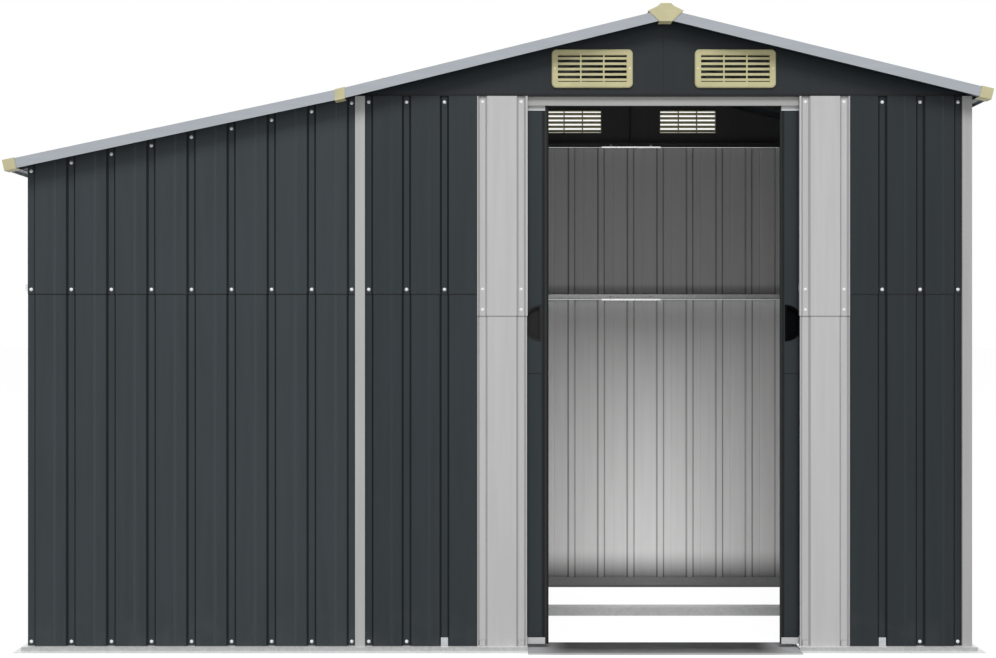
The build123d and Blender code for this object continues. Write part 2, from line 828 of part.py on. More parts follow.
# Eave trims, along the right and left edges of the roof between the end trims
cover_reach = y_trim - trim_flange - fit_gap
with BuildPart() as eave_trims:
    for x, z, pitch, side, length, slope_name in slopes:
        if slope_name == "left":
            continue
        end = slope_plane(x, z, pitch, side).offset(length)
        start = end.origin + Vector(0, -cover_reach, 0)
        with BuildSketch(Plane(origin=start, x_dir=end.z_dir * side, z_dir=(0, 1, 0))):
            with BuildLine():
                Polyline(*[(side * a, -b) for a, b in trim_outline], close=True)
            make_face()
        extrude(amount=2 * cover_reach)
save(eave_trims, "eave_trims")


# A folded strip over a joint between two slopes, between the end trims' top flanges
def fold_outline(low, high, half, left_slope, right_slope, left_turn, right_turn):
    return [
        (-half, low / left_turn + left_slope * -half),
        (0, low / left_turn),
        (half, low / right_turn - right_slope * half),
        (half, high / right_turn - right_slope * half),
        (0, high / right_turn),
        (-half, high / left_turn + left_slope * -half),
    ]


ridge_fold = fold_outline(
    cover_lift, cover_lift + sheet, cover_half, main_slope, main_slope, main_cos, main_cos
)
joint_fold = fold_outline(
    cover_lift, cover_lift + sheet, joint_cover_half, lean_to_slope, -main_slope, main_cos, main_cos
)
with BuildPart() as roof_covers:
    for x, z, outline in ((x_ridge, ridge_height, ridge_fold), (x_joint, joint_height, joint_fold)):
        with BuildSketch(Plane(origin=(x, cover_reach, z), x_dir=(1, 0, 0), z_dir=(0, -1, 0))):
            with BuildLine():
                Polyline(*outline, close=True)
            make_face()
        extrude(amount=2 * cover_reach)
save(roof_covers, "roof_covers")


# Ridge caps: a shaped face over the ends of two trims, with a hood above and below them
ridge_cap_outline = []
for half, fall in (
    (ridge_cap_top_half, 0),
    (ridge_cap_shoulder_half, ridge_cap_shoulder_fall),
    (ridge_cap_tip_half, ridge_cap_tip_fall),
    (ridge_cap_bottom_half, ridge_cap_height),
):
    ridge_cap_outline.append((half, ridge_cap_rise - fall))
ridge_cap_outline += [(-x, z) for x, z in reversed(ridge_cap_outline)]
trim_low = -trim_drop - fit_gap
trim_high = trim_rise + fit_gap
ridge_hollow = fold_outline(trim_low, trim_high, cover_half, main_slope, main_slope, main_cos, main_cos)
skin_low = trim_low - cap_skin
skin_high = trim_high + cap_skin
joint_shell = fold_outline(
    skin_low, skin_high, joint_cap_half, lean_to_slope, -main_slope, main_cos, main_cos
)
joint_hollow = fold_outline(
    trim_low, trim_high, joint_cover_half, lean_to_slope, -main_slope, main_cos, main_cos
)


def end_caps(x, z, shell, hollow):
    with BuildPart() as caps:
        for side in (-1, 1):
            face = Plane(origin=(x, side * (y_trim + cap_wall), z), x_dir=(1, 0, 0), z_dir=(0, -1, 0))
            with BuildSketch(face):
                with BuildLine():
                    Polyline(*shell, close=True)
                make_face()
            extrude(amount=side * cap_depth)
            with BuildSketch(face.offset(side * (cap_wall - fit_gap))):
                with BuildLine():
                    Polyline(*hollow, close=True)
                make_face()
            extrude(amount=side * cap_depth, mode=Mode.SUBTRACT)
    return caps


save(end_caps(x_ridge, ridge_height, ridge_cap_outline, ridge_hollow), "ridge_caps")

# Eave and joint caps: a cup over each corner of two trims and a collar over each joint between two
with BuildPart() as trim_caps:
    add(end_caps(x_joint, joint_height, joint_shell, joint_hollow).part)
    for x, z, pitch, side, length, slope_name in slopes:
        if slope_name == "left":
            continue
        for y_side in (-1, 1):
            plane = slope_plane(x, z, pitch, side)
            middle = y_side * side * (y_trim + cap_wall - cap_depth / 2)
            inner = y_side * side * (y_trim + fit_gap - cap_depth / 2)
            centre_height = (trim_low + trim_high) / 2
            with BuildSketch(plane.offset(length + fit_gap + cap_wall)):
                with Locations((middle, centre_height)):
                    Rectangle(cap_depth, trim_high - trim_low + 2 * cap_skin)
            extrude(amount=-cap_length)
            with BuildSketch(plane.offset(length + fit_gap)):
                with Locations((inner, centre_height)):
                    Rectangle(cap_depth, trim_high - trim_low)
            extrude(amount=-cap_length, mode=Mode.SUBTRACT)
save(trim_caps, "trim_caps")


# Door leaves, open as at rest: their pieces hang behind the front wall
def leaf_edges(side):
    meeting = x_ridge + side * (opening_half - leaf_standout[side] + seal_reach[side])
    return meeting, meeting + side * leaf_width


# The folded section of a leaf's sheet, `back` from the face of the leaf
def leaf_outline(back):
    centres = [leaf_width / 2 + leaf_groove_pitch * index for index in (-1, 0, 1)]
    faces = []
    for offset in (back, back + sheet):
        face = sheet_face(leaf_width, centres, offset, groove_flat, groove_run, groove_depth, 0)
        far = leaf_width - offset
        near_return = [(offset, leaf_depth), (offset, offset)]
        far_return = [(far, offset), (far, leaf_depth)]
        faces.append(near_return + face[1:-1] + far_return)
    return faces[0] + faces[1][::-1]


# The part of a disc round `place` that lies to one side of an upright line, `inset` from its middle
def half_round(plane, place, side, inset, radius):
    x, z = place
    straight = x + side * inset
    half = sqrt(radius**2 - inset**2)
    with BuildSketch(plane) as disc:
        with BuildLine():
            Line((straight, z + half), (straight, z - half))
            ThreePointArc((straight, z - half), (x + side * radius, z), (straight, z + half))
        make_face()
    return disc.sketch


for side, hand in ((-1, "left"), (1, "right")):
    meeting, trailing = leaf_edges(side)
    low_edge = min(meeting, trailing)
    pull = (meeting + side * handle_inset, handle_height)
    leaf_face = moved(front, 0, leaf_setback, 0)
    upright = Plane(origin=leaf_face.origin, x_dir=(1, 0, 0), z_dir=(0, -1, 0))

    # Two lapped sheets with a return at each upright edge and a cut-out for the handle
    rows = (
        (leaf_bottom + sheet + fit_gap, leaf_seam + lap, lower_setback),
        (leaf_seam, leaf_top - sheet - fit_gap, 0),
    )
    with BuildPart() as panel:
        for low, high, setback in rows:
            with BuildSketch(moved(leaf_face, low_edge, 0, low)):
                with BuildLine():
                    Polyline(*leaf_outline(setback), close=True)
                make_face()
            extrude(amount=high - low)
        cut_out = half_round(upright.offset(1), pull, side, handle_rim, handle_radius - handle_rim)
        extrude(cut_out, amount=-leaf_depth / 2, mode=Mode.SUBTRACT)
    save(panel, f"door_{hand}_panel")

    # Channels folded over the top and bottom of the sheets; the top one carries two hangers
    outer_depth = leaf_depth + 2 * (sheet + fit_gap)
    channel_middle = -leaf_setback - leaf_depth / 2
    channel_plane = section_plane(front, low_edge)
    with BuildPart() as channels:
        with BuildSketch(channel_plane):
            with Locations((channel_middle, leaf_top - channel_height / 2)):
                Rectangle(outer_depth, channel_height)
            with Locations((channel_middle, leaf_top - channel_height / 2 - sheet)):
                Rectangle(outer_depth - 2 * sheet, channel_height, mode=Mode.SUBTRACT)
        extrude(amount=-leaf_width)
        hook_top = flange_top + fit_gap + hanger_reach + hanger_thickness
        for place in (low_edge + hanger_inset, low_edge + leaf_width - hanger_inset):
            stem = track_back + track_flange + hanger_clearance + hanger_thickness / 2
            foot = track_back + track_flange - hanger_grip / 2
            with BuildSketch(section_plane(front, place - hanger_width / 2)):
                with Locations((stem, (leaf_top + hook_top) / 2)):
                    Rectangle(hanger_thickness, hook_top - leaf_top)
                with BuildLine():
                    Polyline(
                        (stem, hook_top),
                        (foot - hanger_grip / 2, hook_top),
                        (foot - hanger_grip / 2, flange_top + fit_gap),
                        (foot + hanger_grip / 2, flange_top + fit_gap),
                        (foot + hanger_grip / 2, hook_top - hanger_thickness),
                        (stem, hook_top - hanger_thickness),
                        close=True,
                    )
                make_face()
            extrude(amount=-hanger_width)
        with BuildSketch(channel_plane):
            with Locations((channel_middle, leaf_bottom + channel_height / 2)):
                Rectangle(outer_depth, channel_height)
            with Locations((channel_middle, leaf_bottom + channel_height / 2 + sheet)):
                Rectangle(outer_depth - 2 * sheet, channel_height, mode=Mode.SUBTRACT)
        extrude(amount=-leaf_width)
    save(channels, f"door_{hand}_channels")

    # Edge seal: a strip along the meeting edge, with a lip on the face of the sheets
    reach = seal_reach[side]
    with BuildPart() as seal:
        with BuildSketch(moved(leaf_face, meeting, 0, leaf_bottom)) as strip:
            with Locations((-side * (reach + fit_gap) / 2, (seal_back - seal_front) / 2)):
                Rectangle(reach - fit_gap, seal_front + seal_back)
            nose = strip.vertices().group_by(Axis.X)[0 if side > 0 else -1]
            fillet(nose, seal_radius[side])
        extrude(amount=leaf_top - leaf_bottom)
        lip_bottom = leaf_bottom + channel_height + fit_gap
        with BuildSketch(moved(leaf_face, meeting, 0, lip_bottom)):
            with Locations((side * (seal_lip - 2 * fit_gap) / 2, -(seal_front + fit_gap) / 2)):
                Rectangle(seal_lip + 2 * fit_gap, seal_front - fit_gap)
        extrude(amount=leaf_top - channel_height - fit_gap - lip_bottom)
    save(seal, f"door_{hand}_seal")

    # Half-round pull: a thin rim on the face of the leaf round a cup sunk into it
    with BuildPart() as handle:
        extrude(half_round(upright, pull, side, 0, handle_radius), amount=handle_face)
        wall_radius = handle_radius - handle_rim - fit_gap
        extrude(half_round(upright, pull, side, handle_rim + fit_gap, wall_radius), amount=-handle_cup)
        inner_inset = handle_rim + fit_gap + sheet
        cup_floor = upright.offset(sheet - handle_cup)
        hollow = half_round(cup_floor, pull, side, inner_inset, wall_radius - sheet)
        extrude(hollow, amount=handle_cup + handle_face, mode=Mode.SUBTRACT)
    save(handle, f"door_{hand}_handle")
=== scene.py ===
import bpy
import bmesh
import json
import math
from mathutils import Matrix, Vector
from mathutils.bvhtree import BVHTree


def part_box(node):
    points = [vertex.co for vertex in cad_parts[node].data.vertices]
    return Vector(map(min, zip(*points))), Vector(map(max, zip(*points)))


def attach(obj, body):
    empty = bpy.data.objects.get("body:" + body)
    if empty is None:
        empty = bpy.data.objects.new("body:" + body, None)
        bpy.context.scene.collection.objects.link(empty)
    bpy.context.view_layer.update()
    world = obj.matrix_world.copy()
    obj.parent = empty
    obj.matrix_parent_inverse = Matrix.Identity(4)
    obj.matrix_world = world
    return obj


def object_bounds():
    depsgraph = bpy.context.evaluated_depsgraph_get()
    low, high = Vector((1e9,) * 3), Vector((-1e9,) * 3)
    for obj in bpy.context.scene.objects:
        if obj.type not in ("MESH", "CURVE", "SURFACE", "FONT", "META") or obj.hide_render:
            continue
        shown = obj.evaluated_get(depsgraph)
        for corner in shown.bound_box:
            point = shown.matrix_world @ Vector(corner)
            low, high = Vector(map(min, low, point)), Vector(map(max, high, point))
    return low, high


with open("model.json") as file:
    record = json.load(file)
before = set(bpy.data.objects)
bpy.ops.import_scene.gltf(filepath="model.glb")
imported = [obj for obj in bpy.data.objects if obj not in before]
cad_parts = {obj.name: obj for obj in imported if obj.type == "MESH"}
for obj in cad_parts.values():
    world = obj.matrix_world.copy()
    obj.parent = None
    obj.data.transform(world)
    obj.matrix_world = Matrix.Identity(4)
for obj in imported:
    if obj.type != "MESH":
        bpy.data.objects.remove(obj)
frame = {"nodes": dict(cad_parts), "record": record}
cadLow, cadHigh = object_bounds()
nodes = frame["nodes"]
scene = bpy.context.scene
print("frame loaded:", len(nodes), "nodes")

# Camera: square to the front, at about the height of the door pulls
cameraPlace = {"distance": 4.445, "height": 0.891, "focal": 50.63, "sensor": 36.0, "shiftUp": 0.00602, "farEnd": 100.0}
cameraData = bpy.data.cameras.new("camera")
cameraData.lens = cameraPlace["focal"]
cameraData.sensor_width = cameraPlace["sensor"]
cameraData.shift_y = cameraPlace["shiftUp"]
cameraData.clip_end = cameraPlace["farEnd"]
camera = bpy.data.objects.new("camera", cameraData)
camera.location = (0.0, -cameraPlace["distance"], cameraPlace["height"])
camera.rotation_euler = (math.pi / 2, 0.0, 0.0)
scene.collection.objects.link(camera)
scene.camera = camera
scene.view_settings.view_transform = "Standard"


# Shader maths: a Wire is one socket, and sums of wires add their own nodes
class Wire:
    def __init__(self, board, socket):
        self.board = board
        self.socket = socket

    def maths(self, operation, first, second=None):
        values = {0: first} if second is None else {0: first, 1: second}
        return self.board.node("ShaderNodeMath", {"operation": operation}, values)

    def __add__(self, other):
        return self.maths("ADD", self, other)

    __radd__ = __add__

    def __mul__(self, other):
        return self.maths("MULTIPLY", self, other)

    __rmul__ = __mul__

    def __sub__(self, other):
        return self.maths("SUBTRACT", self, other)

    def __rsub__(self, other):
        return self.maths("SUBTRACT", other, self)

    def __abs__(self):
        return self.maths("ABSOLUTE", self)

    def highest(self, other):
        return self.maths("MAXIMUM", self, other)

    def clamped(self):
        wire = self + 0.0
        wire.socket.node.use_clamp = True
        return wire

    def smooth(self, low, high):
        settings = {"interpolation_type": "SMOOTHSTEP"}
        return self.board.node("ShaderNodeMapRange", settings, {0: self, 1: low, 2: high})

    def between(self, low, high, edge):
        return self.smooth(low - edge, low + edge) * (1 - self.smooth(high - edge, high + edge))


# A node tree and the one way nodes are put on it
class Board:
    def __init__(self, tree):
        self.tree = tree
        self.tree.nodes.clear()

    def feed(self, socket, value):
        if isinstance(value, Wire):
            self.tree.links.new(value.socket, socket)
        else:
            socket.default_value = value

    def node(self, kind, settings=None, sockets=None, output=0):
        made = self.tree.nodes.new(kind)
        for key, value in (settings or {}).items():
            setattr(made, key, value)
        for key, value in (sockets or {}).items():
            self.feed(made.inputs[key], value)
        return Wire(self, made.outputs[output])

    def mix(self, factor, first, second):
        return self.node("ShaderNodeMix", {"data_type": "RGBA"}, {0: factor, 6: first, 7: second}, output=2)


def onScreen(red, green, blue):  # a tone picked on screen, 0 to 255, as the shader wants it
    return tuple(((part / 255 + 0.055) / 1.055) ** 2.4 for part in (red, green, blue)) + (1.0,)


def scaled(tone, share):
    return tuple(part * share for part in tone[:3]) + (1.0,)


def grey(share):
    return (share, share, share * 0.995, 1.0)


# One finish: a Principled shader and the nodes that feed it, on the piece's own coordinates
class Finish(Board):
    def __init__(self, name, gloss):
        self.material = bpy.data.materials.new(name)
        self.material.use_nodes = True
        super().__init__(self.material.node_tree)
        self.shader = self.tree.nodes.new("ShaderNodeBsdfPrincipled")
        output = self.tree.nodes.new("ShaderNodeOutputMaterial")
        self.tree.links.new(self.shader.outputs[0], output.inputs[0])
        self.shader.inputs["Specular IOR Level"].default_value = gloss
        self.place = self.node("ShaderNodeTexCoord", output="Object")
        self.facing = self.node("ShaderNodeNewGeometry", output="True Normal")

    def split(self, vector, letter):
        return self.node("ShaderNodeSeparateXYZ", None, {0: vector}, output="XYZ".index(letter))

    def turnedTo(self, direction):
        settings = {"operation": "DOT_PRODUCT"}
        return self.node("ShaderNodeVectorMath", settings, {0: self.facing, 1: direction}, output=1)

    def squareness(self):  # 1 on a face square to an axis, less on a sloping one
        x, y, z = (abs(self.split(self.facing, letter)) for letter in "XYZ")
        return x.highest(y).highest(z)

    def stretched(self, scale):
        return self.node("ShaderNodeMapping", None, {"Vector": self.place, "Scale": scale})

    def noise(self, scale, detail=3.0, place=None):  # mostly 0.3 to 0.7, so smooth() is used to spread it
        sockets = {"Vector": place or self.place, "Scale": scale, "Detail": detail}
        return self.node("ShaderNodeTexNoise", None, sockets)

    def speckle(self, scale):
        return self.node("ShaderNodeTexVoronoi", None, {"Vector": self.place, "Scale": scale}, output="Color")

    def varied(self, factor, tone, shares):
        low, high = shares
        return self.mix(factor, scaled(tone, low), scaled(tone, high))

    def spreadOver(self, wire, middle, spread):
        return middle - spread / 2 + wire * spread

    def shade(self, socketName, value):
        self.feed(self.shader.inputs[socketName], value)

    def bump(self, height, strength, distance):
        sockets = {"Height": height, "Strength": strength, "Distance": distance}
        self.shade("Normal", self.node("ShaderNodeBump", None, sockets))


finishes = {}
dressed = set()


# A finish for each entry, set on the nodes that the entry names
def dress(makeFinish, pieces):
    for name, piece in pieces.items():
        settings = dict(piece)
        pieceNodes = settings.pop("nodes")
        finishes[name] = makeFinish(name, **settings)
        for node in pieceNodes:
            dressed.add(node)
            for slot in nodes[node].material_slots:
                slot.material = finishes[name]
    print("finishes set:", ", ".join(pieces))


toFront, toBack, toRight, toLeft = Vector((0, -1, 0)), Vector((0, 1, 0)), Vector((1, 0, 0)), Vector((-1, 0, 0))
upright, crosswise, lengthwise = (1.0, 1.0, 0.05), (0.05, 1.0, 1.0), (1.0, 0.05, 1.0)  # how a grain is drawn out

# Sheets: dark paint outside, dusty at the foot, with painted shade in the folds, a painted highlight along each
# stiffening crease and a painted shadow under each lap, and a grey backing coat inside with painted shade of its own
sheetCoat = {
    "paint": (0.030, 0.039, 0.0435, 1.0),
    # painted light and shade: each sheet below takes its own share of this one paint, and a lower share is also made
    # bluer
    "cast": (-0.12, 0.0, 0.14),  # a darker sheet looks bluer
    "streaks": 55.0,
    "streakTones": (0.93, 1.07),
    "cloud": 2.4,
    "cloudTone": 1.18,
    "cloudShare": 0.35,
    "fine": 850.0,
    "dust": 14.0,
    "dustHeight": 0.16,
    "dustTone": onScreen(120, 118, 112),
    "dustShare": 0.08,
    "crease": (0.945, 0.970, 0.006),  # squareness from, to and edge
    # painted highlight: a lighter line along each stiffening crease
    "creaseHighlightTone": 1.30,
    "fold": (0.86, 0.94),
    # painted shade in the folds
    "foldShadeTone": onScreen(20, 22, 25),
    "foldShadeShare": 0.75,
    "lapEdge": 0.0006,
    # painted shadow under each lap
    "lapShadowTone": onScreen(12, 14, 16),
    "lapShadowShare": 0.85,
    "roughness": 0.45,
    "spread": 0.10,
    "foldRough": 0.12,
    "relief": (0.9, 0.04, 0.02),  # of the cloud, the streaks and the fine grain
    "bump": (0.30, 0.006),  # strength and distance
    "gloss": 0.25,
}
backingCoat = {
    # painted shade: above the seam the backing is painted darker, standing in for the shade under the roof
    "seam": (1.010, 1.014),  # the upper sheets are darker behind
    "streakTone": onScreen(110, 111, 112),
    "streakShare": 0.05,
    # painted shade on the backing just above the middle rail
    "railShade": (1.030, 1.062, 0.014),  # height from, to and edge
    "railShadeTone": onScreen(60, 60, 60),
    "railShadeShare": 0.45,
    # painted shade: the backing is painted darker towards the foot
    "footShade": (0.030, 0.140),
    "footShadeTone": onScreen(97, 97, 97),
    "footShadeShare": 0.86,
    # painted shade in the folds of the backing
    "foldShadeTone": onScreen(52, 52, 52),
    "foldShadeShare": 0.42,
    "outside": (0.10, 0.30),
    "rough": 0.08,
}


def sheetFinish(name, outward, share, backing=None, grain=upright, lapShadows=()):
    finish = Finish(name, sheetCoat["gloss"])
    lean = [1 + cast * (1 - share) for cast in sheetCoat["cast"]]
    base = tuple(part * share * turn for part, turn in zip(sheetCoat["paint"], lean)) + (1.0,)
    height = finish.split(finish.place, "Z")
    streaks = finish.noise(sheetCoat["streaks"], 4.0, finish.stretched(grain))
    cloud = finish.noise(sheetCoat["cloud"])
    fine = finish.noise(sheetCoat["fine"], 2.0)
    squareness = finish.squareness()
    paint = finish.varied(streaks.smooth(0.3, 0.7), base, sheetCoat["streakTones"])
    cloudy = cloud.smooth(0.35, 0.7) * sheetCoat["cloudShare"]
    paint = finish.mix(cloudy, paint, scaled(base, sheetCoat["cloudTone"]))
    dust = (1 - height.smooth(0.0, sheetCoat["dustHeight"])) * finish.noise(sheetCoat["dust"], 5.0).smooth(0.42, 0.72)
    paint = finish.mix(dust * sheetCoat["dustShare"], paint, sheetCoat["dustTone"])
    # painted highlight along each stiffening crease
    paint = finish.mix(squareness.between(*sheetCoat["crease"]), paint, scaled(base, sheetCoat["creaseHighlightTone"]))
    fold = 1 - squareness.smooth(*sheetCoat["fold"])
    # painted shade in the folds
    paint = finish.mix(fold * sheetCoat["foldShadeShare"], paint, sheetCoat["foldShadeTone"])
    # painted shadow under each lap
    for low, high in lapShadows:
        lap = height.between(low, high, sheetCoat["lapEdge"]) * sheetCoat["lapShadowShare"]
        paint = finish.mix(lap, paint, sheetCoat["lapShadowTone"])
    tone = paint
    rough = finish.spreadOver(streaks, sheetCoat["roughness"], sheetCoat["spread"]) + fold * sheetCoat["foldRough"]
    if backing:
        lower, upper = (grey(part) for part in backing)
        # painted shade: darker backing on the upper sheets
        coat = finish.mix(height.smooth(*backingCoat["seam"]), lower, upper)
        coat = finish.mix(streaks.smooth(0.35, 0.7) * backingCoat["streakShare"], coat, backingCoat["streakTone"])
        # painted shade just above the middle rail
        railShade = height.between(*backingCoat["railShade"]) * backingCoat["railShadeShare"]
        coat = finish.mix(railShade, coat, backingCoat["railShadeTone"])
        # painted shade towards the foot of the backing
        footShade = (1 - height.smooth(*backingCoat["footShade"])) * backingCoat["footShadeShare"]
        coat = finish.mix(footShade, coat, backingCoat["footShadeTone"])
        # painted shade in the folds of the backing
        coat = finish.mix(fold * backingCoat["foldShadeShare"], coat, backingCoat["foldShadeTone"])
        outside = finish.turnedTo(outward).smooth(*backingCoat["outside"])
        tone = finish.mix(outside, coat, paint)
        rough = rough + (1 - outside) * backingCoat["rough"]
    finish.shade("Base Color", tone)
    finish.shade("Roughness", rough)
    cloudRelief, streakRelief, fineRelief = sheetCoat["relief"]
    finish.bump(cloud * cloudRelief + streaks * streakRelief + fine * fineRelief, *sheetCoat["bump"])
    return finish.material


# The lap shadows are painted shadow lines just under where an upper sheet ends over a lower one, and along the gable's
# foot: height from and to
wallLapShadow = ((1.0037, 1.0077),)
leafLapShadow = ((0.7803, 0.7831),)
gableFootShadow = ((1.5650, 1.5712),)
# Backing greys of the lower and upper sheets; the upper one is darker as painted shade under the roof
wallBacking = (0.89, 0.63)
# The shares are painted light and shade on one paint: the lean-to is painted lightest, the left wall and the door
# leaves less, the right wall darker and the front gable darkest; the sides away from the front keep 0.86
dress(sheetFinish, {
    "leanToPaint": {"nodes": ("front_wall_lean_to",), "outward": toFront, "share": 1.0, "backing": wallBacking,
        "lapShadows": wallLapShadow},
    "leftPaint": {"nodes": ("front_wall_left",), "outward": toFront, "share": 0.71, "backing": wallBacking,
        "lapShadows": wallLapShadow},
    "rightPaint": {"nodes": ("front_wall_right",), "outward": toFront, "share": 0.51, "backing": wallBacking,
        "lapShadows": wallLapShadow},
    "leafPaintLeft": {"nodes": ("door_left_panel",), "outward": toFront, "share": 0.68, "backing": wallBacking,
        "lapShadows": leafLapShadow},
    "leafPaintRight": {"nodes": ("door_right_panel",), "outward": toFront, "share": 0.58, "backing": wallBacking,
        "lapShadows": leafLapShadow},
    "backPaint": {"nodes": ("back_wall_main", "back_wall_lean_to"), "outward": toBack, "share": 0.86,
        "backing": wallBacking},
    "sidePaint": {"nodes": ("right_wall",), "outward": toRight, "share": 0.86, "backing": wallBacking},
    "dividerPaint": {"nodes": ("divider_wall",), "outward": toLeft, "share": 0.86, "backing": wallBacking},
    "roofPaint": {"nodes": ("roof_right", "roof_left", "roof_lean_to", "roof_covers"), "outward": (0, 0, 1),
        "share": 0.86, "grain": crosswise},
    # painted shade: the gables get no light backing, so the front gable is dark inside and the back gable's backing is
    # near-black
    "gablePaint": {"nodes": ("front_gable",), "outward": toFront, "share": 0.43, "lapShadows": gableFootShadow},
    "gableBackPaint": {"nodes": ("back_gable",), "outward": toBack, "share": 0.86, "backing": (0.062, 0.062)},
})

# Folded light pieces: satin paint with a faint run of the rollers along their length, painted shade in the folds and a
# painted shadow under the jamb lap
foldedCoat = {
    "streaks": 60.0,
    "streakTones": (0.965, 1.03),
    "cloud": 3.0,
    "cloudTone": 0.92,
    "cloudShare": 0.20,
    "fine": 700.0,
    "soil": 22.0,
    "soilHeight": 0.12,
    "soilTone": onScreen(118, 112, 100),
    "soilShare": 0.10,
    "fold": (0.80, 0.93),
    # painted shade in the folds
    "foldShadeTone": 0.40,
    "foldShadeShare": 0.34,
    "lapEdge": 0.0006,
    # painted shadow under the lap
    "lapShadowTone": 0.25,
    "lapShadowShare": 0.55,
    "roughness": 0.42,
    "spread": 0.10,
    "relief": (0.7, 0.05, 0.02),
    "bump": (0.25, 0.005),
    "gloss": 0.30,
}


def foldedFinish(name, tone, grain=upright, lapShadows=()):
    finish = Finish(name, foldedCoat["gloss"])
    streaks = finish.noise(foldedCoat["streaks"], 4.0, finish.stretched(grain))
    cloud = finish.noise(foldedCoat["cloud"])
    fine = finish.noise(foldedCoat["fine"], 2.0)
    colour = finish.varied(streaks.smooth(0.3, 0.7), tone, foldedCoat["streakTones"])
    cloudy = cloud.smooth(0.4, 0.75) * foldedCoat["cloudShare"]
    colour = finish.mix(cloudy, colour, scaled(tone, foldedCoat["cloudTone"]))
    height = finish.split(finish.place, "Z")
    soil = (1 - height.smooth(0.0, foldedCoat["soilHeight"])) * finish.noise(foldedCoat["soil"], 5.0).smooth(0.45, 0.75)
    colour = finish.mix(soil * foldedCoat["soilShare"], colour, foldedCoat["soilTone"])
    fold = 1 - finish.squareness().smooth(*foldedCoat["fold"])
    # painted shade in the folds
    colour = finish.mix(fold * foldedCoat["foldShadeShare"], colour, scaled(tone, foldedCoat["foldShadeTone"]))
    # painted shadow under the lap
    for low, high in lapShadows:
        lap = height.between(low, high, foldedCoat["lapEdge"]) * foldedCoat["lapShadowShare"]
        colour = finish.mix(lap, colour, scaled(tone, foldedCoat["lapShadowTone"]))
    finish.shade("Base Color", colour)
    finish.shade("Roughness", finish.spreadOver(streaks, foldedCoat["roughness"], foldedCoat["spread"]))
    cloudRelief, streakRelief, fineRelief = foldedCoat["relief"]
    finish.bump(cloud * cloudRelief + streaks * streakRelief + fine * fineRelief, *foldedCoat["bump"])
    return finish.material


dress(foldedFinish, {
    "jambPaint": {"nodes": ("jamb_panel_left", "jamb_panel_right"), "tone": (0.53, 0.53, 0.53, 1.0),
        "lapShadows": ((0.9423, 0.9451),)},
    # painted light: the junction posts are painted lighter than the corner posts, standing in for light from the left
    "cornerPaint": {"nodes": ("corner_posts",), "tone": (0.415, 0.415, 0.415, 1.0)},
    "junctionPaint": {"nodes": ("junction_posts",), "tone": (0.45, 0.465, 0.46, 1.0)},
    "trackPaint": {"nodes": ("door_track",), "tone": (0.40, 0.40, 0.395, 1.0), "grain": crosswise},
    "channelPaint": {"nodes": ("door_left_channels", "door_right_channels"), "tone": (0.60, 0.615, 0.62, 1.0),
        "grain": crosswise},
    "trimPaint": {"nodes": ("front_roof_trims", "back_roof_trims"), "tone": (0.41, 0.44, 0.475, 1.0),
        "grain": crosswise},
    "eavePaint": {"nodes": ("eave_trims",), "tone": (0.41, 0.44, 0.475, 1.0), "grain": lengthwise},
})

# Bare zinc: spangle cells of slightly different greys, a dull sheen, upward faces painted pale as painted light, and
# bands of painted highlight and shade
zincSkin = {
    "cellTones": (0.92, 1.08),
    "drift": 6.0,
    "driftTone": 0.82,
    "driftShare": 0.25,
    "metalLeast": 0.8,
    "metalDrift": 0.4,
    "spread": 0.12,
    "bandEdge": 0.0004,
    "bandRough": 0.28,
    "upward": (0.4, 0.8),
    # painted light on upward faces
    "topLightTone": 0.95,
    "grain": 500.0,
    "relief": (0.3, 0.3),  # of the cells and the grain
    "lipRelief": 9.0,  # enough for a rolled edge to turn down the light from the doorway
    "bump": (1.0, 0.00009),
    "gloss": 0.4,
}


def zincFinish(name, tone, roughness=0.46, metal=0.35, cells=130.0, topLight=0.0, lightAndShadeBands=(), lips=()):
    finish = Finish(name, zincSkin["gloss"])
    cell = finish.split(finish.speckle(cells), "X")
    drift = finish.noise(zincSkin["drift"], 4.0)
    height = finish.split(finish.place, "Z")
    colour = finish.varied(cell, tone, zincSkin["cellTones"])
    drifted = drift.smooth(0.4, 0.75) * zincSkin["driftShare"]
    colour = finish.mix(drifted, colour, scaled(tone, zincSkin["driftTone"]))
    metallic = metal * zincSkin["metalLeast"] + drift * metal * zincSkin["metalDrift"]
    rough = finish.spreadOver(cell, roughness, zincSkin["spread"])
    # painted highlight and painted shade, in bands of height
    for low, high, share, polish in lightAndShadeBands:
        within = height.between(low, high, zincSkin["bandEdge"])
        colour = finish.mix(within, colour, scaled(tone, share))
        metallic = metallic.highest(within * polish)
        rough = rough - within * polish * zincSkin["bandRough"]
    # painted light: upward faces are painted pale
    upward = finish.split(finish.facing, "Z").smooth(*zincSkin["upward"])
    colour = finish.mix(upward * topLight, colour, grey(zincSkin["topLightTone"]))
    cellRelief, grainRelief = zincSkin["relief"]
    relief = cell * cellRelief + finish.noise(zincSkin["grain"], 2.0) * grainRelief
    for low, high in lips:
        relief = relief + height.smooth(low, high) * zincSkin["lipRelief"]
    finish.shade("Base Color", colour)
    finish.shade("Roughness", rough)
    finish.shade("Metallic", metallic)
    finish.bump(relief, *zincSkin["bump"])
    return finish.material


